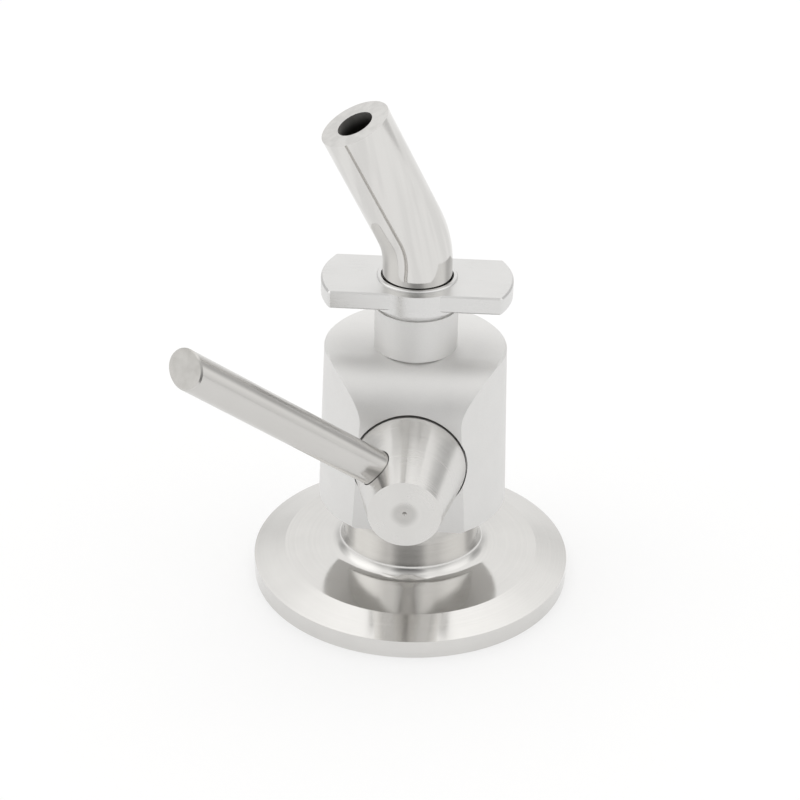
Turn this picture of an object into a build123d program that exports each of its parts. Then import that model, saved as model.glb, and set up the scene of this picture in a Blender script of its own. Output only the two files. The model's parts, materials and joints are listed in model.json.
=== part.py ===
"""Sanitary sampling valve: a quarter-turn plug valve on a 1.5 inch clamp ferrule.

The frame is the ferrule's: origin at the centre of its gasket face, +Z up the flow
axis, the knob towards -Y, the lever and the spout's bend towards -X. Millimetres.
"""
import os
from math import cos, radians, sin

from build123d import *

os.makedirs("parts", exist_ok=True)

# ---- Driving dimensions -----------------------------------------------------------
# Clamp ferrule, to the 1.5 inch standard
ferrule_radius = 25.25
rim_thickness = 2.9
cone_top_z = 5.1
neck_radius = 10.7
neck_fillet = 2.4
inlet_radius = 5.0
groove_centre_radius = 21.8
groove_radius = 1.6

# Valve body: a slightly tapered round block, flat in front, rolled over to its top face
body_bottom_z = 14.3
body_top_z = 40.65
body_bottom_radius = 14.8
body_top_radius = 13.95
flat_y = -12.0
shoulder_radius = 8.0
edge_chamfer = 0.3
passage_radius = 4.0

# Knob axis, recess and plug chamber
axis_z = 25.9
recess_radius = 8.75
recess_floor_y = -10.5
gland_radius = 7.1
chamber_radius = 7.0
chamber_front_y = -5.8
chamber_end_y = 6.2

# Rotating group
sleeve_half_length = 5.5
sleeve_bore = 5.5
port_radius = 3.0
plug_radius = 5.45
stem_radius = 4.0
stem_hole_radius = 4.1
stem_front_y = -10.7
shank_size = 6.0
shank_front_y = -22.0
knob_back_y = stem_front_y
knob_skirt_y = -12.2
knob_front_y = -25.5
knob_base_radius = 8.5
knob_face_radius = 5.4
lever_radius = 2.75
lever_length = 42.8
lever_y = -17.35
lever_angle = 41.4
lever_tilt = 21.0
lever_end_slant = 29.0
lever_seat = 5.2
lever_seat_gap = 0.1
lever_screw_radius = 2.0
closed_angle = -lever_angle
open_angle = 90.0 - lever_angle
stop_pin_radius = 0.55
stop_circle_radius = 8.0
stop_angle = 270.0
stop_clearance = 6.0

# Outlet: nipple, spout, collar and wing nut
nipple_foot_z = 35.4
gasket_thickness = 0.8
nipple_foot_radius = 6.0
nipple_neck_radius = 6.35
thread_radius = 6.72
relief_radius = 6.0
relief_bottom_z = 47.4
thread_bottom_z = 48.4
nipple_top_z = 50.1
nipple_step_z = 39.6
spigot_radius = 4.0
spigot_hole_radius = 4.1
spigot_bottom_z = 40.2
nipple_bore_radius = 3.0
tube_radius = 5.25
tube_bore = 2.7
bend_start_z = 54.2
bend_radius = 13.9
bend_angle = 26.8
spout_heading = 22.3
straight_end = 18.9
collar_radius = 6.6
collar_top_z = 51.0
washer_top_z = 51.3
nut_top_z = 52.1
plate_thickness = 2.75
plate_radius = 14.46
plate_width = 13.46
hub_radius = 7.67
hub_bottom_z = 48.85
lip_radius = 6.1
lip_height = 0.25
nut_thread_radius = 6.8
nut_hole_radius = 5.5

# O-rings: cord radius and sides, and how far a groove is wider than its cord
cord_radius = 0.5
cord_sides = 8
groove_slack = 0.1

# ---- Reference planes and axes ----------------------------------------------------
knob_axis = Axis((0, 0, axis_z), (0, 1, 0))
side_plane = Plane.YZ


def front_plane(y):
    """Plane square to the knob axis at this y, its normal out of the valve's front."""
    return Plane(origin=(0, y, axis_z), x_dir=(1, 0, 0), z_dir=(0, -1, 0))


def level(z):
    """Horizontal plane at this height."""
    return Plane.XY.offset(z)


# The lever's own direction: along its rod, away from the knob
lever_direction = Vector(
    -cos(radians(lever_angle)) * cos(radians(lever_tilt)),
    -sin(radians(lever_tilt)),
    sin(radians(lever_angle)) * cos(radians(lever_tilt)),
)
lever_root = Vector(0, lever_y, axis_z)


def lever_plane(distance):
    """Plane square to the lever rod, this far from the knob axis."""
    return Plane(origin=lever_root + lever_direction * distance, z_dir=lever_direction)


# The plug's port lies along the lever, so it is turned with it
port_plane = Plane(
    origin=(0, 0, axis_z),
    z_dir=(-cos(radians(lever_angle)), 0, sin(radians(lever_angle))),
)

# Spout plane: its x points where the spout bends to, its y points up
heading = (-cos(radians(spout_heading)), -sin(radians(spout_heading)), 0)
spout_plane = Plane(
    origin=(0, 0, 0),
    x_dir=heading,
    z_dir=(-sin(radians(spout_heading)), cos(radians(spout_heading)), 0),
)


def save(part, label):
    """Label a finished piece and write it."""
    part.label = label
    export_step(part, f"parts/{label}.step")


def ring_on_z(outer, inner, bottom, top):
    """Flat ring about the flow axis."""
    with BuildPart() as ring:
        with BuildSketch(level(bottom)):
            Circle(outer)
            Circle(inner, mode=Mode.SUBTRACT)
        extrude(amount=top - bottom)
    return ring.part


def ring_on_knob_axis(outer, inner, back_y, front_y):
    """Flat ring about the knob axis, from its back to its front."""
    with BuildPart() as ring:
        with BuildSketch(front_plane(back_y)):
            Circle(outer)
            Circle(inner, mode=Mode.SUBTRACT)
        extrude(amount=back_y - front_y)
    return ring.part


def oring_on_z(centre_radius, z):
    """O-ring about the flow axis."""
    with BuildPart() as oring:
        with BuildSketch(Plane.XZ):
            with Locations((centre_radius, z)):
                RegularPolygon(cord_radius, cord_sides)
        revolve(axis=Axis.Z)
    return oring.part


def oring_on_knob_axis(centre_radius, y):
    """O-ring about the knob axis."""
    with BuildPart() as oring:
        with BuildSketch(side_plane):
            with Locations((y, axis_z + centre_radius)):
                RegularPolygon(cord_radius, cord_sides)
        revolve(axis=knob_axis)
    return oring.part


# ---- Clamp ferrule: flange, cone and neck in one turned piece ------------------------
with BuildPart() as ferrule:
    with BuildSketch(Plane.XZ) as ferrule_profile:
        with BuildLine():
            Polyline(
                (inlet_radius, 0),
                (ferrule_radius, 0),
                (ferrule_radius, rim_thickness),
                (neck_radius, cone_top_z),
                (neck_radius, body_bottom_z),
                (inlet_radius, body_bottom_z),
                close=True,
            )
        make_face()
        # Gasket groove in the clamp face
        with Locations((groove_centre_radius, -0.2)):
            Circle(groove_radius, mode=Mode.SUBTRACT)
        neck_foot = ferrule_profile.vertices().sort_by_distance((neck_radius, cone_top_z))[0]
        fillet(neck_foot, neck_fillet)
    revolve(axis=Axis.Z)
save(ferrule.part, "tri_clamp_ferrule")

# ---- Valve body -----------------------------------------------------------------------
stop_x = stop_circle_radius * cos(radians(stop_angle))
stop_z = axis_z + stop_circle_radius * sin(radians(stop_angle))
key_radius = 0.7
key_back_y = -1.0

with BuildPart() as body:
    with BuildSketch(Plane.XZ):
        with BuildLine():
            Polyline(
                (0, body_bottom_z),
                (body_bottom_radius, body_bottom_z),
                (body_top_radius, body_top_z),
                (0, body_top_z),
                close=True,
            )
        make_face()
    revolve(axis=Axis.Z)
    chamfer(body.edges().filter_by(GeomType.CIRCLE), edge_chamfer)
    # Front flat, and the round shoulder that carries it over to the top face
    with BuildSketch(side_plane):
        with BuildLine():
            shoulder = JernArc(
                start=(flat_y, body_top_z - shoulder_radius),
                tangent=(0, 1),
                radius=shoulder_radius,
                arc_size=-90,
            )
            Polyline(
                shoulder @ 1,
                (flat_y + shoulder_radius, body_top_z + 1),
                (flat_y - 10, body_top_z + 1),
                (flat_y - 10, body_bottom_z - 1),
                (flat_y, body_bottom_z - 1),
                shoulder @ 0,
            )
        make_face()
    extrude(amount=body_bottom_radius + 1, both=True, mode=Mode.SUBTRACT)
    # Knob recess, gland thread and plug chamber, one behind the other
    for radius, start_y, end_y in (
        (recess_radius, flat_y, recess_floor_y),
        (gland_radius, recess_floor_y, chamber_front_y),
        (chamber_radius, chamber_front_y, chamber_end_y),
    ):
        with BuildSketch(front_plane(start_y)):
            Circle(radius)
        extrude(amount=start_y - end_y, mode=Mode.SUBTRACT)
    # Flow passage, and the socket that takes the nipple's foot and gasket
    with BuildSketch(level(body_bottom_z)):
        Circle(passage_radius)
    extrude(amount=body_top_z - body_bottom_z, mode=Mode.SUBTRACT)
    with BuildSketch(level(nipple_foot_z - gasket_thickness)):
        Circle(nipple_foot_radius)
    extrude(amount=body_top_z - nipple_foot_z + gasket_thickness, mode=Mode.SUBTRACT)
    # Holes for the stop pin and for the key that holds the sleeve
    with BuildSketch(front_plane(recess_floor_y)):
        with Locations((stop_x, stop_z - axis_z)):
            Circle(stop_pin_radius)
    extrude(amount=-2, mode=Mode.SUBTRACT)
    with BuildSketch(front_plane(-sleeve_half_length)):
        with Locations((chamber_radius, 0)):
            Circle(key_radius)
    extrude(amount=-sleeve_half_length - key_back_y, mode=Mode.SUBTRACT)
save(body.part, "valve_body")

with BuildPart() as stop_pin:
    with BuildSketch(front_plane(recess_floor_y + 2)):
        with Locations((stop_x, stop_z - axis_z)):
            Circle(stop_pin_radius)
    extrude(amount=3.0)
save(stop_pin.part, "stop_pin")

with BuildPart() as sleeve_key:
    with BuildSketch(front_plane(key_back_y)):
        with Locations((chamber_radius, 0)):
            Circle(key_radius)
    extrude(amount=sleeve_half_length + key_back_y)
save(sleeve_key.part, "sleeve_key")

# ---- Seal sleeve: lines the chamber, with a port above and below ------------------------
with BuildPart() as sleeve:
    with BuildSketch(front_plane(sleeve_half_length)):
        Circle(chamber_radius)
        Circle(sleeve_bore, mode=Mode.SUBTRACT)
    extrude(amount=2 * sleeve_half_length)
    with BuildSketch(level(axis_z - chamber_radius)):
        Circle(port_radius)
    extrude(amount=2 * chamber_radius, mode=Mode.SUBTRACT)
    with BuildSketch(front_plane(key_back_y)):
        with Locations((chamber_radius, 0)):
            Circle(key_radius)
    extrude(amount=sleeve_half_length + key_back_y, mode=Mode.SUBTRACT)
save(sleeve.part, "seal_sleeve")

# ---- Gland ring: screws in behind the recess and holds the plug in ----------------------
gland_oring_y = -7.2
groove_half = cord_radius + groove_slack
spanner_slot_width = 1.4
spanner_slot_depth = 1.0
with BuildPart() as gland:
    with BuildSketch(side_plane):
        with BuildLine():
            Polyline(
                (recess_floor_y, axis_z + stem_hole_radius),
                (recess_floor_y, axis_z + gland_radius),
                (gland_oring_y - groove_half, axis_z + gland_radius),
                (gland_oring_y - groove_half, axis_z + gland_radius - 2 * cord_radius),
                (gland_oring_y + groove_half, axis_z + gland_radius - 2 * cord_radius),
                (gland_oring_y + groove_half, axis_z + gland_radius),
                (chamber_front_y, axis_z + gland_radius),
                (chamber_front_y, axis_z + stem_hole_radius),
                close=True,
            )
        make_face()
    revolve(axis=knob_axis)
    with BuildSketch(front_plane(recess_floor_y)):
        Rectangle(2 * gland_radius, spanner_slot_width)
    extrude(amount=-spanner_slot_depth, mode=Mode.SUBTRACT)
save(gland.part, "gland_ring")
save(oring_on_knob_axis(gland_radius - cord_radius, gland_oring_y), "gland_oring")

# ---- Valve plug: ported cylinder, stem with two seal grooves, square shank --------------
stem_oring_centre = stem_radius - cord_radius + 0.05
stem_orings = {"stem_oring_inner": -7.2, "stem_oring_outer": -9.2}
plug_front_y = -5.4
plug_end_y = 5.9
with BuildPart() as plug:
    with BuildSketch(front_plane(plug_end_y)):
        Circle(plug_radius)
    extrude(amount=plug_end_y - plug_front_y)
    with BuildSketch(front_plane(plug_front_y)):
        Circle(stem_radius)
    extrude(amount=plug_front_y - stem_front_y)
    with BuildSketch(front_plane(stem_front_y)) as shank_section:
        Rectangle(shank_size, shank_size, rotation=-lever_angle)
        Circle(stem_radius, mode=Mode.INTERSECT)
    extrude(amount=stem_front_y - shank_front_y)
    with BuildSketch(port_plane):
        Circle(port_radius)
    extrude(amount=plug_radius + 1, both=True, mode=Mode.SUBTRACT)
    for groove_y in stem_orings.values():
        with BuildSketch(front_plane(groove_y + groove_half)):
            Circle(stem_radius + 1)
            Circle(stem_oring_centre - cord_radius, mode=Mode.SUBTRACT)
        extrude(amount=2 * groove_half, mode=Mode.SUBTRACT)
    # Cross hole that takes the lever's threaded end
    with BuildSketch(lever_plane(-shank_size / 2 + 1.5)):
        Circle(lever_screw_radius)
    extrude(amount=shank_size + 1, mode=Mode.SUBTRACT)
save(plug.part, "valve_plug")
for name, y in stem_orings.items():
    save(oring_on_knob_axis(stem_oring_centre, y), name)
save(
    ring_on_knob_axis(plug_radius - 0.1, stem_radius, plug_front_y, chamber_front_y + 0.02),
    "thrust_washer",
)

# ---- Knob: turned cone with a skirt that turns in the body's recess ---------------------
dish_radius = 2.2
dish_depth = 0.18
dish_curve = (dish_radius**2 + dish_depth**2) / (2 * dish_depth)
centre_mark = 0.35
notch_inner = 7.3
notch_outer = 9.0
notch_depth = 1.2
with BuildPart() as knob:
    with BuildSketch(side_plane):
        with BuildLine():
            Polyline(
                (knob_front_y + dish_depth, axis_z),
                (knob_back_y, axis_z),
                (knob_back_y, axis_z + knob_base_radius),
                (knob_skirt_y, axis_z + knob_base_radius),
                (knob_front_y, axis_z + knob_face_radius),
                (knob_front_y, axis_z + dish_radius),
            )
            RadiusArc(
                (knob_front_y, axis_z + dish_radius),
                (knob_front_y + dish_depth, axis_z),
                dish_curve,
            )
        make_face()
    revolve(axis=knob_axis)
    # Centre mark left in the dish by the lathe
    with BuildSketch(side_plane):
        with BuildLine():
            Polyline(
                (knob_front_y, axis_z),
                (knob_front_y, axis_z + centre_mark),
                (knob_front_y + dish_depth, axis_z + centre_mark),
                (knob_front_y + dish_depth + centre_mark, axis_z),
                close=True,
            )
        make_face()
    revolve(axis=knob_axis, mode=Mode.SUBTRACT)
    # Square socket over the plug's shank
    with BuildSketch(front_plane(knob_back_y)):
        add(shank_section.sketch_local)
    extrude(amount=knob_back_y - shank_front_y, mode=Mode.SUBTRACT)
    # Seat and tapped hole for the lever
    with BuildSketch(lever_plane(lever_seat)):
        Circle(lever_radius + lever_seat_gap)
    extrude(amount=knob_base_radius, mode=Mode.SUBTRACT)
    with BuildSketch(lever_plane(0)):
        Circle(lever_screw_radius)
    extrude(amount=lever_seat, mode=Mode.SUBTRACT)
    # Notch in the skirt's edge: the stop pin meets its ends a quarter turn apart
    with BuildSketch(front_plane(knob_back_y)):
        notch_start = stop_angle + closed_angle - stop_clearance
        notch_sweep = open_angle - closed_angle + 2 * stop_clearance
        with BuildLine():
            outer_arc = CenterArc((0, 0), notch_outer, notch_start, notch_sweep)
            inner_arc = CenterArc((0, 0), notch_inner, notch_start, notch_sweep)
            Line(outer_arc @ 0, inner_arc @ 0)
            Line(outer_arc @ 1, inner_arc @ 1)
        make_face()
    extrude(amount=notch_depth, mode=Mode.SUBTRACT)
save(knob.part, "knob")

# ---- Lever: rod cut on the slant, threaded at its root to lock the knob to the shank ------
lever_edge_chamfer = 0.2
end_lean = radians(lever_tilt + lever_end_slant)
lever_end_plane = Plane(
    origin=lever_root + lever_direction * lever_length,
    z_dir=(
        -cos(radians(lever_angle)) * cos(end_lean),
        -sin(end_lean),
        sin(radians(lever_angle)) * cos(end_lean),
    ),
)
with BuildPart() as lever:
    with BuildSketch(lever_plane(lever_seat)):
        Circle(lever_radius)
    extrude(amount=lever_length)
    split(bisect_by=lever_end_plane, keep=Keep.BOTTOM)
    chamfer(lever.edges().sort_by(Axis.X)[0], lever_edge_chamfer)
    with BuildSketch(lever_plane(0)):
        Circle(lever_screw_radius)
    extrude(amount=lever_seat)
save(lever.part, "lever_rod")

# ---- Outlet nipple: foot in the body, neck, and the wing nut's thread at the top ----------
with BuildPart() as nipple:
    with BuildSketch(Plane.XZ):
        with BuildLine():
            Polyline(
                (passage_radius, nipple_foot_z),
                (nipple_foot_radius, nipple_foot_z),
                (nipple_foot_radius, body_top_z),
                (nipple_neck_radius, body_top_z),
                (nipple_neck_radius, relief_bottom_z),
                (relief_radius, relief_bottom_z),
                (relief_radius, thread_bottom_z),
                (thread_radius, thread_bottom_z + thread_radius - relief_radius),
                (thread_radius, nipple_top_z),
                (spigot_hole_radius, nipple_top_z),
                (spigot_hole_radius, nipple_step_z),
                (nipple_bore_radius, nipple_step_z),
                (nipple_bore_radius, nipple_foot_z),
                close=True,
            )
        make_face()
    revolve(axis=Axis.Z)
save(nipple.part, "outlet_nipple")
save(
    ring_on_z(nipple_foot_radius, passage_radius, nipple_foot_z - gasket_thickness, nipple_foot_z),
    "nipple_gasket",
)

# ---- Spout: thick bent tube on a spigot with two seal grooves ------------------------------
spigot_oring_centre = spigot_radius - cord_radius + 0.05
spigot_orings = {"spigot_oring_lower": 42.2, "spigot_oring_upper": 46.2}
with BuildPart() as spout:
    with BuildLine(spout_plane) as spout_line:
        riser = Line((0, nipple_top_z), (0, bend_start_z))
        bend = JernArc(start=riser @ 1, tangent=riser % 1, radius=bend_radius, arc_size=-bend_angle)
        Line(bend @ 1, bend @ 1 + (bend % 1) * straight_end)
    spout_path = spout_line.wire()
    with BuildSketch(level(nipple_top_z)):
        Circle(tube_radius)
    sweep(path=spout_path)
    with BuildSketch(level(spigot_bottom_z)):
        Circle(spigot_radius)
    extrude(amount=nipple_top_z - spigot_bottom_z)
    for groove_z in spigot_orings.values():
        with BuildSketch(level(groove_z - groove_half)):
            Circle(spigot_radius + 1)
            Circle(spigot_oring_centre - cord_radius, mode=Mode.SUBTRACT)
        extrude(amount=2 * groove_half, mode=Mode.SUBTRACT)
    with BuildSketch(level(nipple_top_z)):
        Circle(tube_bore)
    sweep(path=spout_path, mode=Mode.SUBTRACT)
    with BuildSketch(level(spigot_bottom_z)):
        Circle(tube_bore)
    extrude(amount=nipple_top_z - spigot_bottom_z, mode=Mode.SUBTRACT)
save(spout.part, "spout_tube")
for name, z in spigot_orings.items():
    save(oring_on_z(spigot_oring_centre, z), name)
save(ring_on_z(collar_radius, tube_radius, nipple_top_z, collar_top_z), "spout_collar")
save(ring_on_z(collar_radius, tube_radius + 0.15, collar_top_z, washer_top_z), "slip_washer")

# ---- Wing nut: disc cut to two parallel flats, on a short threaded hub --------------------
plate_chamfer = 0.25
lip_chamfer = 0.15
with BuildPart() as wing_nut:
    with BuildSketch(level(nut_top_z - plate_thickness)):
        Circle(plate_radius)
        Rectangle(2 * plate_radius, plate_width, mode=Mode.INTERSECT)
    extrude(amount=plate_thickness)
    chamfer(wing_nut.edges(), plate_chamfer)
    with BuildSketch(level(hub_bottom_z)):
        Circle(hub_radius)
    extrude(amount=nut_top_z - hub_bottom_z)
    # Lip round the spout's hole
    with BuildSketch(level(nut_top_z)):
        Circle(lip_radius)
    extrude(amount=lip_height)
    chamfer(wing_nut.edges().sort_by(Axis.Z)[-1], lip_chamfer)
    with BuildSketch(level(hub_bottom_z)):
        Circle(nut_thread_radius)
    extrude(amount=washer_top_z - hub_bottom_z, mode=Mode.SUBTRACT)
    with BuildSketch(level(hub_bottom_z)):
        Circle(nut_hole_radius)
    extrude(amount=nut_top_z + lip_height - hub_bottom_z, mode=Mode.SUBTRACT)
save(wing_nut.part, "wing_nut")

mouth = spout_path @ 1
aim = spout_path % 1
print("spout mouth", [round(v, 3) for v in mouth], "aim", [round(v, 5) for v in aim])
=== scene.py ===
"""Sanitary sampling valve: looks, studio and camera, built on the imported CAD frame."""
import json
import math

import bmesh
import bpy
from mathutils import Matrix, Vector


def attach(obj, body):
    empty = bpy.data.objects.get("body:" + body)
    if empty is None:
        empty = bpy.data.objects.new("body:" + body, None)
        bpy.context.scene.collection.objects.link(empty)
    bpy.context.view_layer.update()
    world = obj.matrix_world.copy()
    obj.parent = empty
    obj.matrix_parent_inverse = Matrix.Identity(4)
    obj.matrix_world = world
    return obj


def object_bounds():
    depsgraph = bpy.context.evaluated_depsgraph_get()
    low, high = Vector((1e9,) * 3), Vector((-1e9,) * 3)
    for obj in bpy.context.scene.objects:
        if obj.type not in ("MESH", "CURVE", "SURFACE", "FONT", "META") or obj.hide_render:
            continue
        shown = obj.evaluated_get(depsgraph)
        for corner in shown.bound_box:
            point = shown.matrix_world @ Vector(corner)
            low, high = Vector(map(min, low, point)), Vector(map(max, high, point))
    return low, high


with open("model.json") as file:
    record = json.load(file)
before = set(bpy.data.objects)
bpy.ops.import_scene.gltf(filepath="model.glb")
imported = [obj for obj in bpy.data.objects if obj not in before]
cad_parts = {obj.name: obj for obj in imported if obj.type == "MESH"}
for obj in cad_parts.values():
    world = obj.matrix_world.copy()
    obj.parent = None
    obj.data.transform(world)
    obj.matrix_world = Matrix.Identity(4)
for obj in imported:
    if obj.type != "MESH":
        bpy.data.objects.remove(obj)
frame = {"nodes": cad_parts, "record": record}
cad_low, cad_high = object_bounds()
nodes = frame["nodes"]
record = frame["record"]
MM = 0.001
MICRON = 0.000001

# ---- Camera: where the picture was taken from; angles in degrees ------------------------
CAMERA_AZIMUTH = 2.745
CAMERA_ELEVATION = 29.402
CAMERA_ROLL = 1.208
CAMERA_DISTANCE = 300 * MM
AIM_HEIGHT = 30.617 * MM
AIM_SHIFT = -2.21 * MM
LENS = 86.912
SENSOR_WIDTH = 36
CLIP_NEAR = 0.01
CLIP_FAR = 50

# ---- Axes of the turned parts and the outlet's mouth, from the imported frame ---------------
joints = {joint["name"]: joint for joint in record["behaviour"]["joints"]}
FLOW_AXIS = Vector(joints["spout_swivel"]["axis"])
HANDLE_AXIS = Vector(joints["handle_turn"]["axis"])
HANDLE_POINT = Vector(joints["handle_turn"]["pos_m"])
OUTLET = next(mount for mount in record["mounts"] if mount["name"] == "outlet_bore")

# The lever rises from the knob's left side and leans towards the viewer
LEVER_RISE = math.radians(41.4)
LEVER_LEAN = math.radians(21)
LEVER_AXIS = Vector((
    -math.cos(LEVER_RISE) * math.cos(LEVER_LEAN),
    -math.sin(LEVER_LEAN),
    math.sin(LEVER_RISE) * math.cos(LEVER_LEAN),
))

# The tube was polished along this line, between its upright foot and its bent end
SPOUT_STREAKS = Vector((-0.2, -0.08, 0.98))


def make_camera():
    """Camera looking at a point beside the flow axis, with the picture's small roll."""
    azimuth = math.radians(CAMERA_AZIMUTH)
    elevation = math.radians(CAMERA_ELEVATION)
    roll = math.radians(CAMERA_ROLL)
    back = Vector((
        math.sin(azimuth) * math.cos(elevation),
        -math.cos(azimuth) * math.cos(elevation),
        math.sin(elevation),
    ))
    level_right = Vector((math.cos(azimuth), math.sin(azimuth), 0))
    level_up = back.cross(level_right)
    aim = Vector((0, 0, AIM_HEIGHT)) + level_right * AIM_SHIFT
    right = level_right * math.cos(roll) + level_up * math.sin(roll)
    up = level_up * math.cos(roll) - level_right * math.sin(roll)
    data = bpy.data.cameras.new("camera")
    data.lens = LENS
    data.sensor_width = SENSOR_WIDTH
    data.clip_start = CLIP_NEAR
    data.clip_end = CLIP_FAR
    camera = bpy.data.objects.new("camera", data)
    bpy.context.scene.collection.objects.link(camera)
    turn = Matrix((right, up, back)).transposed().to_4x4()
    camera.matrix_world = Matrix.Translation(aim + back * CAMERA_DISTANCE) @ turn
    bpy.context.scene.camera = camera


# ---- Node helpers ---------------------------------------------------------------------
def new_material(name):
    """Node material: itself, its tree and its principled shader."""
    material = bpy.data.materials.new(name)
    material.use_nodes = True
    tree = material.node_tree
    return material, tree, tree.nodes["Principled BSDF"]


def feed(tree, socket, value):
    """Input socket linked from an output socket, or set to a number, vector or colour."""
    if isinstance(value, bpy.types.NodeSocket):
        tree.links.new(value, socket)
    else:
        socket.default_value = value


def math_node(tree, operation, a, b):
    """Output of a math node; a and b are sockets or numbers."""
    node = tree.nodes.new("ShaderNodeMath")
    node.operation = operation
    feed(tree, node.inputs[0], a)
    feed(tree, node.inputs[1], b)
    return node.outputs[0]


def vector_node(tree, operation, a, b=None, output="Vector"):
    """Output of a vector math node; a and b are sockets or vectors, or b is a scale."""
    node = tree.nodes.new("ShaderNodeVectorMath")
    node.operation = operation
    feed(tree, node.inputs[0], a)
    if b is not None:
        feed(tree, node.inputs["Scale" if operation == "SCALE" else 1], b)
    return node.outputs[output]


def map_range(tree, value, low, high, to_low, to_high, smooth=False):
    """Value mapped from low..high to to_low..to_high, kept inside them."""
    node = tree.nodes.new("ShaderNodeMapRange")
    node.interpolation_type = "SMOOTHSTEP" if smooth else "LINEAR"
    feed(tree, node.inputs["Value"], value)
    feed(tree, node.inputs["From Min"], low)
    feed(tree, node.inputs["From Max"], high)
    feed(tree, node.inputs["To Min"], to_low)
    feed(tree, node.inputs["To Max"], to_high)
    return node.outputs["Result"]


def place_in_mm(tree, centre=(0, 0, 0)):
    """Surface point in millimetres from this centre, which is given in metres."""
    coords = tree.nodes.new("ShaderNodeTexCoord").outputs["Object"]
    offset = vector_node(tree, "SUBTRACT", coords, centre)
    return vector_node(tree, "SCALE", offset, 1 / MM)


def noise(tree, vector, scale, detail, turn=None):
    """Noise from 0 to 1; turn is the fourth coordinate where there is one."""
    node = tree.nodes.new("ShaderNodeTexNoise")
    feed(tree, node.inputs["Scale"], scale)
    feed(tree, node.inputs["Detail"], detail)
    feed(tree, node.inputs["Vector"], vector)
    if turn is not None:
        node.noise_dimensions = "4D"
        feed(tree, node.inputs["W"], turn)
    return node.outputs["Fac"]


def around_axis(tree, point, axis):
    """Distance along the axis, radius from it, and the vector from it to the point."""
    along = vector_node(tree, "DOT_PRODUCT", point, axis, "Value")
    away = vector_node(tree, "SUBTRACT", point, vector_node(tree, "SCALE", axis, along))
    return along, vector_node(tree, "LENGTH", away, output="Value"), away


def relief(tree, shader, height, depth):
    """Bump of this depth in metres on the shader's normal."""
    bump = tree.nodes.new("ShaderNodeBump")
    feed(tree, bump.inputs["Strength"], 1.0)
    feed(tree, bump.inputs["Distance"], depth)
    feed(tree, bump.inputs["Height"], height)
    feed(tree, shader.inputs["Normal"], bump.outputs["Normal"])


def linked(shader, name):
    """Socket that feeds this input of the shader now."""
    return shader.inputs[name].links[0].from_socket


def shade_of(color, share=1.0):
    """Colour made darker or lighter by a share, with its alpha."""
    return (*(min(1, c * share) for c in color), 1)


def tone(tree, shader, amount, before, after):
    """Base colour blended from before to after, which are sockets or colours with alpha."""
    mix = tree.nodes.new("ShaderNodeMix")
    mix.data_type = "RGBA"
    feed(tree, mix.inputs["Factor"], amount)
    feed(tree, mix.inputs["A"], before)
    feed(tree, mix.inputs["B"], after)
    feed(tree, shader.inputs["Base Color"], mix.outputs["Result"])


def paint_shade(tree, shader, amount, color):
    """Painted shade: what the base colour is by now, blended on towards this colour."""
    tone(tree, shader, amount, linked(shader, "Base Color"), shade_of(color))


# ---- Tool marks -----------------------------------------------------------------------
MARK_DETAIL = 2.0
LATHE_DRIFT = 0.5  # how far the rings' noise moves on round a turn


def lathe_marks(tree, point, axis, pitch):
    """Noise in rings round the axis, as a lathe leaves it, changing slowly round a turn."""
    along, radius, away = around_axis(tree, point, axis)
    heading = tree.nodes.new("ShaderNodeSeparateXYZ")
    feed(tree, heading.inputs[0], vector_node(tree, "NORMALIZE", away))
    sideways = math_node(tree, "ADD", heading.outputs["Y"], heading.outputs["Z"])
    rings = tree.nodes.new("ShaderNodeCombineXYZ")
    feed(tree, rings.inputs["X"], math_node(tree, "DIVIDE", radius, pitch))
    feed(tree, rings.inputs["Y"], math_node(tree, "DIVIDE", along, pitch))
    feed(tree, rings.inputs["Z"], math_node(tree, "MULTIPLY", heading.outputs["X"], LATHE_DRIFT))
    turn = math_node(tree, "MULTIPLY", sideways, LATHE_DRIFT)
    return noise(tree, rings.outputs["Vector"], 1.0, MARK_DETAIL, turn)


def brush_marks(tree, point, axis, pitch, length):
    """Noise drawn out along the axis, as a brush or belt leaves it."""
    along, _, away = around_axis(tree, point, axis)
    fine = vector_node(tree, "SCALE", away, 1 / pitch)
    drawn = vector_node(tree, "SCALE", axis / length, along)
    return noise(tree, vector_node(tree, "ADD", fine, drawn), 1.0, MARK_DETAIL)


# ---- Metals ---------------------------------------------------------------------------
NOISE_LOW, NOISE_HIGH = 0.3, 0.7  # nearly all of a noise lies between these
SHADE_LOW, SHADE_HIGH = 0.7, 1.3  # and of two noises added
SMUDGE_SCALE = 0.22
SMUDGE_DETAIL = 3.0
SMUDGE_SHARE = 0.6  # of the spread in roughness that the tool marks have
DARK_SHARE, LIGHT_SHARE = 0.965, 1.02
BLAST_DETAIL = 4.0
RADIAL_GRAIN = 0.25  # a quarter turn, so that reflections spread across the tool marks


def finish_metal(tree, shader, point, marks, color, roughness, spread, depth,
                 shade=None, dark_share=DARK_SHARE):
    """Steel with marks in its roughness and relief, and soft handling smudges."""
    shader.inputs["Metallic"].default_value = 1
    smudge = noise(tree, point, SMUDGE_SCALE, SMUDGE_DETAIL)
    wear = spread * SMUDGE_SHARE
    worn = map_range(tree, smudge, NOISE_LOW, NOISE_HIGH, -wear, wear)
    lines = map_range(tree, marks, NOISE_LOW, NOISE_HIGH, roughness - spread, roughness + spread)
    feed(tree, shader.inputs["Roughness"], math_node(tree, "ADD", lines, worn))
    if shade is None:
        both = math_node(tree, "ADD", marks, smudge)
        shade = map_range(tree, both, SHADE_LOW, SHADE_HIGH, 0.0, 1.0)
    tone(tree, shader, shade, shade_of(color, dark_share), shade_of(color, LIGHT_SHARE))
    relief(tree, shader, marks, depth)


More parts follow.
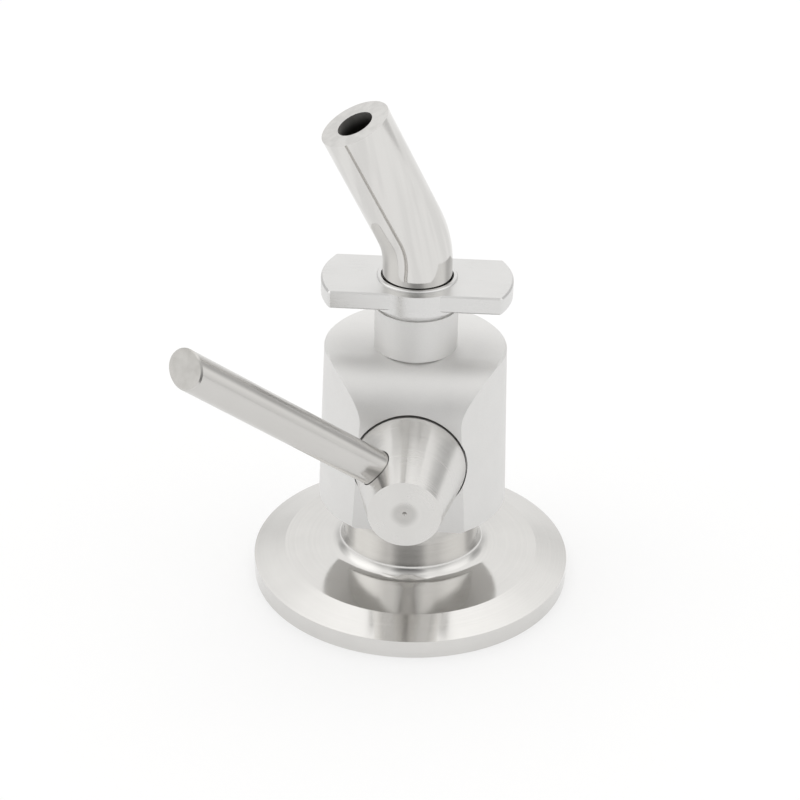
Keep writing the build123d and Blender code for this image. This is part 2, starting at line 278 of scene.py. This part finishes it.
def turned_steel(name, color, roughness, spread, depth, pitch,
                 axis=FLOW_AXIS, centre=(0, 0, 0), grain=0.0):
    """Steel turned on a lathe about the flow or the handle axis, with rings round it."""
    material, tree, shader = new_material(name)
    point = place_in_mm(tree, centre)
    marks = lathe_marks(tree, point, axis, pitch)
    finish_metal(tree, shader, point, marks, color, roughness, spread, depth)
    shader.inputs["Anisotropic"].default_value = grain
    shader.inputs["Anisotropic Rotation"].default_value = RADIAL_GRAIN
    around = tree.nodes.new("ShaderNodeTangent")
    around.direction_type = "RADIAL"
    around.axis = "Y" if axis == HANDLE_AXIS else "Z"
    feed(tree, shader.inputs["Tangent"], around.outputs["Tangent"])
    return material


def brushed_steel(name, color, roughness, spread, depth, pitch, length, axis):
    """Steel brushed along an axis."""
    material, tree, shader = new_material(name)
    point = place_in_mm(tree)
    marks = brush_marks(tree, point, axis, pitch, length)
    finish_metal(tree, shader, point, marks, color, roughness, spread, depth)
    return material


def satin_steel(name, color, roughness, spread, depth, grain):
    """Blasted and rubbed steel, with an even fine grain of this size in millimetres."""
    material, tree, shader = new_material(name)
    point = place_in_mm(tree)
    marks = noise(tree, point, 1 / grain, BLAST_DETAIL)
    finish_metal(tree, shader, point, marks, color, roughness, spread, depth)
    return material


# ---- Soft parts inside ------------------------------------------------------------------
PTFE_PITCH = 0.18
PTFE_CLOUD = 0.5
PTFE_DULL, PTFE_PALE = (0.86, 0.86, 0.84), (0.93, 0.93, 0.92)
PTFE_SMOOTH, PTFE_ROUGH = 0.38, 0.5
PTFE_IOR = 1.35
RUBBER_GRAIN = 6.0
RUBBER_DETAIL = 3.0
RUBBER_BLACK, RUBBER_GREY = (0.03, 0.03, 0.032), (0.06, 0.06, 0.06)
RUBBER_SMOOTH, RUBBER_ROUGH = 0.5, 0.7


def machined_ptfe():
    """White PTFE with faint turning marks, a little cloudy."""
    material, tree, shader = new_material("ptfe_white")
    point = place_in_mm(tree)
    marks = lathe_marks(tree, point, FLOW_AXIS, PTFE_PITCH)
    cloud = noise(tree, point, PTFE_CLOUD, MARK_DETAIL)
    tone(tree, shader, cloud, shade_of(PTFE_DULL), shade_of(PTFE_PALE))
    dull = map_range(tree, marks, NOISE_LOW, NOISE_HIGH, PTFE_SMOOTH, PTFE_ROUGH)
    feed(tree, shader.inputs["Roughness"], dull)
    shader.inputs["IOR"].default_value = PTFE_IOR
    relief(tree, shader, marks, 4 * MICRON)
    return material


def moulded_rubber():
    """Black rubber, matt with a fine moulded grain."""
    material, tree, shader = new_material("rubber_black")
    grain = noise(tree, place_in_mm(tree), RUBBER_GRAIN, RUBBER_DETAIL)
    tone(tree, shader, grain, shade_of(RUBBER_BLACK), shade_of(RUBBER_GREY))
    dull = map_range(tree, grain, NOISE_LOW, NOISE_HIGH, RUBBER_SMOOTH, RUBBER_ROUGH)
    feed(tree, shader.inputs["Roughness"], dull)
    relief(tree, shader, grain, 6 * MICRON)
    return material


# ---- Studio ---------------------------------------------------------------------------
HORIZON_LEVEL, CEILING_LEVEL = 0.66, 1.08
CEILING_START = 0.7  # height on the unit sphere from which the ceiling is at its full level
STUDIO_COLOR = (1.0, 0.997, 0.99, 1)
# Soft patches: azimuth, elevation, inner and outer radius in degrees, change of level
STUDIO_PATCHES = (
    (0, 22, 9, 32, -0.54),  # darker wall behind the camera
    (0, 60, 4, 24, -0.42),  # and the ceiling above it
    (-84, 22, 10, 42, 0.40),  # bright walls to the left and right
    (84, 20, 8, 34, 0.25),
    (-122, 20, 4, 20, -0.28),  # dark edges behind those walls
    (122, 20, 4, 20, -0.28),
    (180, -6, 12, 36, 0.30),  # bright low backdrop
    (180, 80, 12, 40, 0.22),  # and the ceiling straight above
)
FLOOR_SIZE = 6
FLOOR_COLOR = (0.98, 0.98, 0.98, 1)
FLOOR_ROUGHNESS = 0.9
FLOOR_GLOW = 0.5  # share of plain white in what the camera and shiny surfaces see


def direction_to(azimuth, elevation):
    """Direction by degrees round from the camera's side, positive to the right, and degrees up."""
    turn, tilt = math.radians(azimuth), math.radians(elevation)
    return Vector((
        math.sin(turn) * math.cos(tilt),
        -math.cos(turn) * math.cos(tilt),
        math.sin(tilt),
    ))


def soft_zone(tree, direction, centre, inner, outer):
    """1 within inner degrees of the centre direction, falling to 0 at outer degrees."""
    nearness = vector_node(tree, "DOT_PRODUCT", direction, centre, "Value")
    edge, core = math.cos(math.radians(outer)), math.cos(math.radians(inner))
    return map_range(tree, nearness, edge, core, 0.0, 1.0, smooth=True)


def make_world():
    """Soft studio with paler and darker walls, which the camera itself sees as white."""
    world = bpy.data.worlds.new("studio")
    bpy.context.scene.world = world
    world.use_nodes = True
    tree = world.node_tree
    direction = tree.nodes.new("ShaderNodeTexCoord").outputs["Generated"]
    height = vector_node(tree, "DOT_PRODUCT", direction, (0, 0, 1), "Value")
    level = map_range(tree, height, 0.0, CEILING_START, HORIZON_LEVEL, CEILING_LEVEL, smooth=True)
    for azimuth, elevation, inner, outer, change in STUDIO_PATCHES:
        patch = soft_zone(tree, direction, direction_to(azimuth, elevation), inner, outer)
        level = math_node(tree, "ADD", level, math_node(tree, "MULTIPLY", patch, change))
    seen = tree.nodes.new("ShaderNodeLightPath").outputs["Is Camera Ray"]
    lit = math_node(tree, "MULTIPLY", level, math_node(tree, "SUBTRACT", 1.0, seen))
    background = tree.nodes["Background"]
    feed(tree, background.inputs["Strength"], math_node(tree, "ADD", lit, seen))
    background.inputs["Color"].default_value = STUDIO_COLOR


def make_floor():
    """Large white floor at the height the valve stands on, which keeps its shadow."""
    bpy.ops.mesh.primitive_plane_add(size=FLOOR_SIZE, location=(0, 0, cad_low.z))
    floor = bpy.context.object
    floor.name = "floor"
    material, tree, shader = new_material("floor_white")
    shader.inputs["Base Color"].default_value = FLOOR_COLOR
    shader.inputs["Roughness"].default_value = FLOOR_ROUGHNESS
    shader.inputs["Specular IOR Level"].default_value = 0.0
    ray = tree.nodes.new("ShaderNodeLightPath")
    glow = tree.nodes.new("ShaderNodeEmission")
    blend = tree.nodes.new("ShaderNodeMixShader")
    seen = math_node(tree, "MAXIMUM", ray.outputs["Is Camera Ray"], ray.outputs["Is Glossy Ray"])
    feed(tree, blend.inputs[0], math_node(tree, "MULTIPLY", seen, FLOOR_GLOW))
    feed(tree, blend.inputs[1], shader.outputs[0])
    feed(tree, blend.inputs[2], glow.outputs[0])
    feed(tree, tree.nodes["Material Output"].inputs["Surface"], blend.outputs[0])
    floor.data.materials.append(material)


# ---- Clamp shoulder: what the clamp bears on, over the ferrule's plain back cone -----------
RIM_TOP = 2.9 * MM
LAND_RADIUS = 20.3 * MM
LAND_HEIGHT = 4.5 * MM
LAND_SLOPE = math.radians(2.1)
NECK_RADIUS = 10.71 * MM
NECK_TOP = 7.565 * MM
FOOT_RADIUS = 2.39 * MM
FOOT_CENTRE = Vector((13.1, 7.165)) * MM
FOOT_STEPS = 14
RIM_INSET = 0.01 * MM  # keeps the ring's edge inside the rim
RIM_LIFT = 0.005 * MM  # and just above its top
ROOT_DEPTH = 0.5 * MM  # the ring's hidden sides lie this deep in the solid
ROOT_LEAN = 0.3 * MM
TURN_STEPS = 240
SHARP_ANGLE = math.radians(10)


def shoulder_profile():
    """Radius and height, from the neck down its foot, over the land and down the clamp cone."""
    points = [Vector((NECK_RADIUS, NECK_TOP))]
    sweep = math.pi / 2 - LAND_SLOPE
    for i in range(FOOT_STEPS + 1):
        angle = math.pi + sweep * i / FOOT_STEPS
        points.append(FOOT_CENTRE + Vector((math.cos(angle), math.sin(angle))) * FOOT_RADIUS)
    rim_radius = cad_high.x - RIM_INSET
    root_radius = NECK_RADIUS - ROOT_DEPTH
    root_height = RIM_TOP - ROOT_DEPTH
    return points + [
        Vector((LAND_RADIUS, LAND_HEIGHT)),
        Vector((rim_radius, RIM_TOP + RIM_LIFT)),
        Vector((rim_radius - ROOT_LEAN, root_height)),
        Vector((root_radius, root_height)),
        Vector((root_radius, NECK_TOP)),
    ]


def spin_profile(name, points, steps, material):
    """Closed ring turned round the flow axis from a closed profile."""
    form = bmesh.new()
    rings = []
    for k in range(steps):
        angle = 2 * math.pi * k / steps
        c, s = math.cos(angle), math.sin(angle)
        rings.append([form.verts.new((p.x * c, p.x * s, p.y)) for p in points])
    for k, here in enumerate(rings):
        there = rings[(k + 1) % steps]
        for i in range(len(points)):
            j = (i + 1) % len(points)
            form.faces.new((here[i], here[j], there[j], there[i]))
    bmesh.ops.recalc_face_normals(form, faces=form.faces)
    mesh = bpy.data.meshes.new(name)
    form.to_mesh(mesh)
    form.free()
    mesh.shade_smooth()
    mesh.set_sharp_from_angle(angle=SHARP_ANGLE)
    mesh.materials.append(material)
    ring = bpy.data.objects.new(name, mesh)
    bpy.context.scene.collection.objects.link(ring)
    return ring


def make_clamp_shoulder():
    """Near-level land and steeper clamp cone, turned with the ferrule."""
    steel = nodes["tri_clamp_ferrule"].data.materials[0]
    shoulder = spin_profile("clamp_shoulder", shoulder_profile(), TURN_STEPS, steel)
    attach(shoulder, "valve")


# ---- Finishes of the parts: colours, with radii and depths in millimetres ------------------
WARM_STEEL = (0.70, 0.69, 0.673)
PLAIN_STEEL = (0.73, 0.726, 0.718)
BODY_STEEL = (0.80, 0.795, 0.785)
LEVER_STEEL = (0.62, 0.608, 0.59)
INNER_STEEL = (0.66, 0.66, 0.65)
# Painted shade on the knob's dish: its colour, radii in millimetres and amount
DISH_PAINTED_SHADE = (0.5, 0.49, 0.475)
DISH_CORE, DISH_EDGE, DISH_AMOUNT = 1.2, 2.35, 0.8
STREAK_LOW, STREAK_HIGH, STREAK_DARK = 0.35, 0.65, 0.93
# Painted shade inside the spout's bore: near-black colour, stronger deeper in
BORE_PAINTED_SHADE = (0.05, 0.047, 0.038)
BORE_SKIN, BORE_FADE = 0.02, 0.08  # beyond the bore's wall, where its looks end
BORE_SHADE_DEEP, BORE_SHADE_MOUTH = -2.2, -0.3  # along the spout's axis, from its mouth
BORE_SHADE_DEEP_AMOUNT, BORE_SHADE_MOUTH_AMOUNT = 0.95, 0.1
BORE_ROUGHNESS = 0.4
# Painted shade on the lever's cut end: colour, how square a face must be, patch size
CUT_PAINTED_SHADE = (0.42, 0.41, 0.39)
CUT_START, CUT_FULL = 0.5, 0.7  # how squarely a face meets the lever's axis
CUT_PATCHES = 0.5


def knob_steel():
    """Turned knob; the shallow dish the centre drill's pilot left in its face gets painted shade.
    """
    material = turned_steel(
        "knob_turned", WARM_STEEL, roughness=0.24, spread=0.035, depth=0.5 * MICRON,
        pitch=0.15, axis=HANDLE_AXIS, centre=HANDLE_POINT, grain=0.85)
    tree = material.node_tree
    shader = tree.nodes["Principled BSDF"]
    _, radius, _ = around_axis(tree, place_in_mm(tree, HANDLE_POINT), HANDLE_AXIS)
    # Painted shade: a dark disc on the dish round the knob's axis, fading out at its edge
    dish = map_range(tree, radius, DISH_CORE, DISH_EDGE, DISH_AMOUNT, 0.0, smooth=True)
    paint_shade(tree, shader, dish, DISH_PAINTED_SHADE)
    return material


def spout_steel():
    """Polished tube with faint lengthwise streaks, left rough inside its bore, with painted shade
    darkening the bore.
    """
    material, tree, shader = new_material("spout_polished")
    point = place_in_mm(tree, OUTLET["pos_m"])
    streaks = brush_marks(tree, point, SPOUT_STREAKS, pitch=1.6, length=30)
    shade = map_range(tree, streaks, STREAK_LOW, STREAK_HIGH, 0.0, 1.0, smooth=True)
    finish_metal(tree, shader, point, streaks, WARM_STEEL, roughness=0.075, spread=0.02,
                 depth=0.4 * MICRON, shade=shade, dark_share=STREAK_DARK)
    along, radius, _ = around_axis(tree, point, Vector(OUTLET["axis"]))
    wall = OUTLET["dims"]["r_mm"]
    inside = map_range(tree, radius, wall + BORE_SKIN, wall + BORE_FADE, 1.0, 0.0)
    rough = math_node(tree, "MULTIPLY", inside, BORE_ROUGHNESS)
    polish = linked(shader, "Roughness")
    feed(tree, shader.inputs["Roughness"], math_node(tree, "ADD", polish, rough))
    # Painted shade: the bore darkens towards near black deeper in from the mouth
    deep = map_range(
        tree, along, BORE_SHADE_DEEP, BORE_SHADE_MOUTH, BORE_SHADE_DEEP_AMOUNT, BORE_SHADE_MOUTH_AMOUNT, smooth=True)
    paint_shade(tree, shader, math_node(tree, "MULTIPLY", inside, deep), BORE_PAINTED_SHADE)
    return material


def lever_steel():
    """Bar brushed along its length, with painted shade in patches on its cut end."""
    material = brushed_steel(
        "lever_brushed", LEVER_STEEL, roughness=0.2, spread=0.04, depth=1.2 * MICRON,
        pitch=0.1, length=12, axis=LEVER_AXIS)
    tree = material.node_tree
    shader = tree.nodes["Principled BSDF"]
    # Painted shade: faces square to the lever's axis are darkened in noise patches
    normal = tree.nodes.new("ShaderNodeTexCoord").outputs["Normal"]
    facing = vector_node(tree, "DOT_PRODUCT", normal, LEVER_AXIS, "Value")
    cut = map_range(tree, facing, CUT_START, CUT_FULL, 0.0, 1.0)
    patches = noise(tree, place_in_mm(tree), CUT_PATCHES, MARK_DETAIL)
    paint_shade(tree, shader, math_node(tree, "MULTIPLY", cut, patches), CUT_PAINTED_SHADE)
    return material


def dress_parts():
    """Each CAD node gets the finish of its material slot."""
    body = satin_steel(
        "body_satin", BODY_STEEL, roughness=0.56, spread=0.04, depth=3 * MICRON, grain=0.25)
    finishes = {
        "ferrule_steel": turned_steel(
            "ferrule_turned", WARM_STEEL, roughness=0.11, spread=0.03, depth=0.6 * MICRON,
            pitch=0.12, grain=0.6),
        "body_steel": body,
        "knob_steel": knob_steel(),
        "rod_steel": lever_steel(),
        "spout_steel": spout_steel(),
        "nut_steel": brushed_steel(
            "nut_brushed", PLAIN_STEEL, roughness=0.33, spread=0.06, depth=2 * MICRON,
            pitch=0.1, length=6, axis=Vector((1, 0, 0))),
        "inner_steel": turned_steel(
            "inner_machined", INNER_STEEL, roughness=0.22, spread=0.05, depth=2 * MICRON,
            pitch=0.2),
        "ptfe": machined_ptfe(),
        "elastomer": moulded_rubber(),
    }
    for part in record["subparts"]:
        slots = nodes[part["node"]].data.materials
        slots.clear()
        slots.append(finishes[part["material_slot"]])
    # The nipple's neck shows above the body, and the photo has them alike
    nodes["outlet_nipple"].data.materials[0] = body


make_camera()
make_world()
make_floor()
dress_parts()
make_clamp_shoulder()

scene = bpy.context.scene
scene.view_settings.view_transform = "Standard"
